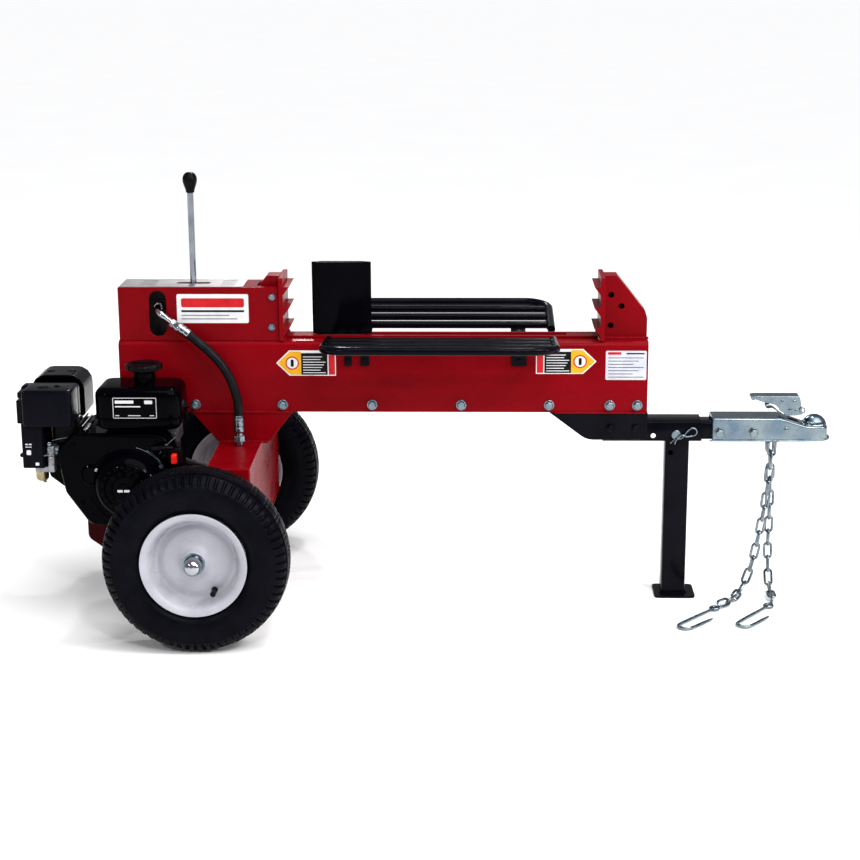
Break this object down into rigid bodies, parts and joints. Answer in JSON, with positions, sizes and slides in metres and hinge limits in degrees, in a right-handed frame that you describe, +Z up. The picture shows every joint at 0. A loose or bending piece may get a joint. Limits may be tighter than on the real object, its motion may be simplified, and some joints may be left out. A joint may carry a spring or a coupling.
{
  "type": "log splitter",
  "caption": "Towable petrol hydraulic log splitter with a two-way sliding wedge, log cradles, support leg and ball hitch.",
  "frame": {"origin": "on the ground, under the middle of the object's box without its safety chains", "axes": "+X towards the hitch, +Y towards the far wheel, +Z up"},
  "size_m": [1.859, 0.902, 1.0035],
  "materials": {
    "red_paint": "glossy deep red powder coat",
    "black_paint": "semi-gloss black powder coat",
    "engine_black": "gloss black enamel",
    "black_plastic": "moulded black plastic",
    "white_paint": "glossy off-white enamel",
    "tyre_rubber": "black tyre rubber, faint blue cast",
    "hose_rubber": "matt black hydraulic hose",
    "zinc_plate": "bright zinc plate",
    "chrome": "polished chrome plate",
    "bare_steel": "machined steel",
    "cast_iron": "cast iron",
    "aluminium": "as-cast aluminium",
    "switch_red": "red plastic"
  },
  "bodies": {
    "frame": {"beam_shell": "red_paint", "slide_rail": "red_paint", "rear_foot": "red_paint", "front_foot": "red_paint", "cylinder_barrel": "black_paint", "cylinder_gland": "bare_steel", "valve_housing": "red_paint", "control_valve": "cast_iron", "near_cradle": "black_paint", "far_cradle": "black_paint", "oil_tank": "red_paint", "beam_saddle": "red_paint", "axle_beam": "red_paint", "engine_mount": "red_paint", "engine_block": "aluminium", "blower_housing": "engine_black", "recoil_starter": "engine_black", "fuel_tank": "engine_black", "air_cleaner": "engine_black", "carburettor": "aluminium", "muffler_guard": "black_paint", "muffler": "bare_steel", "pump_bracket": "cast_iron", "gear_pump": "cast_iron", "return_hose": "hose_rubber", "upper_hose_fitting": "zinc_plate", "lower_hose_fitting": "zinc_plate", "pressure_hose": "hose_rubber", "suction_hose": "hose_rubber", "tongue_bracket": "black_paint", "tongue_channel": "black_paint", "drawbar": "black_paint", "leg_pin": "zinc_plate", "coupler_body": "zinc_plate", "near_chain": "zinc_plate", "far_chain": "zinc_plate", "near_chain_hook": "zinc_plate", "far_chain_hook": "zinc_plate"},
    "wedge_ram": {"wedge": "black_paint", "wedge_carriage": "bare_steel", "piston": "cast_iron", "piston_rod": "chrome"},
    "lever": {"control_lever": "chrome", "lever_knob": "black_plastic"},
    "spool": {"valve_spool": "chrome"},
    "near_wheel": {"near_tyre": "tyre_rubber", "near_rim": "white_paint", "near_hub_cap": "chrome"},
    "far_wheel": {"far_tyre": "tyre_rubber", "far_rim": "white_paint", "far_hub_cap": "chrome"},
    "leg": {"support_leg": "black_paint"},
    "crank": {"crankshaft": "bare_steel"},
    "petrol_cap": {"fuel_cap": "black_plastic"},
    "oil_cap": {"tank_breather_cap": "black_plastic"},
    "throttle": {"throttle_lever": "bare_steel"},
    "switch": {"engine_switch": "switch_red"},
    "starter_grip": {"recoil_handle": "black_plastic"},
    "latch": {"coupler_latch": "zinc_plate"},
    "clamp": {"ball_clamp": "zinc_plate"}
  },
  "joints": [
    {"name": "wedge_slide", "type": "slide", "parent": "frame", "child": "wedge_ram", "axis": [1, 0, 0], "range_m": [0, 0.461]},
    {"name": "lever_tilt", "type": "hinge", "parent": "frame", "child": "lever", "pos_m": [-0.5445, 0, 0.69], "axis": [0, 1, 0], "range_deg": [-25, 25], "stiffness_Nm_per_rad": 12},
    {"name": "spool_slide", "type": "slide", "parent": "frame", "child": "spool", "axis": [1, 0, 0], "range_m": [-0.011, 0.011]},
    {"name": "near_wheel_spin", "type": "hinge", "parent": "frame", "child": "near_wheel", "pos_m": [-0.5025, -0.37, 0.206], "axis": [0, 1, 0], "continuous": true},
    {"name": "far_wheel_spin", "type": "hinge", "parent": "frame", "child": "far_wheel", "pos_m": [-0.5025, 0.37, 0.206], "axis": [0, 1, 0], "continuous": true},
    {"name": "leg_fold", "type": "hinge", "parent": "frame", "child": "leg", "pos_m": [0.57, 0, 0.4], "axis": [0, 1, 0], "range_deg": [0, 90]},
    {"name": "crank_spin", "type": "hinge", "parent": "frame", "child": "crank", "pos_m": [-0.6805, 0, 0.32], "axis": [0, 1, 0], "continuous": true},
    {"name": "fuel_cap_turn", "type": "hinge", "parent": "frame", "child": "petrol_cap", "pos_m": [-0.643, -0.135, 0.569], "axis": [0, 0, 1], "range_deg": [0, 90]},
    {"name": "oil_cap_turn", "type": "hinge", "parent": "frame", "child": "oil_cap", "pos_m": [-0.4405, 0.2, 0.386], "axis": [0, 0, 1], "range_deg": [0, 90]},
    {"name": "throttle_turn", "type": "hinge", "parent": "frame", "child": "throttle", "pos_m": [-0.7745, -0.13, 0.446], "axis": [0, 0, 1], "range_deg": [-20, 25]},
    {"name": "switch_turn", "type": "hinge", "parent": "frame", "child": "switch", "pos_m": [-0.5725, -0.1905, 0.383], "axis": [0, 1, 0], "range_deg": [0, 45]},
    {"name": "starter_pull", "type": "slide", "parent": "frame", "child": "starter_grip", "axis": [0, -1, 0], "range_m": [0, 0.15], "stiffness_N_per_m": 20},
    {"name": "latch_lift", "type": "hinge", "parent": "frame", "child": "latch", "pos_m": [0.8475, 0, 0.455], "axis": [0, 1, 0], "range_deg": [0, 70]},
    {"name": "clamp_slide", "type": "slide", "parent": "frame", "child": "clamp", "axis": [1, 0, 0], "range_m": [-0.008, 0]}
  ],
  "couplings": [
    {"joint": "spool_slide", "follows": "lever_tilt", "m_per_rad": -0.022},
    {"joint": "clamp_slide", "follows": "latch_lift", "m_per_rad": -0.006}
  ]
}
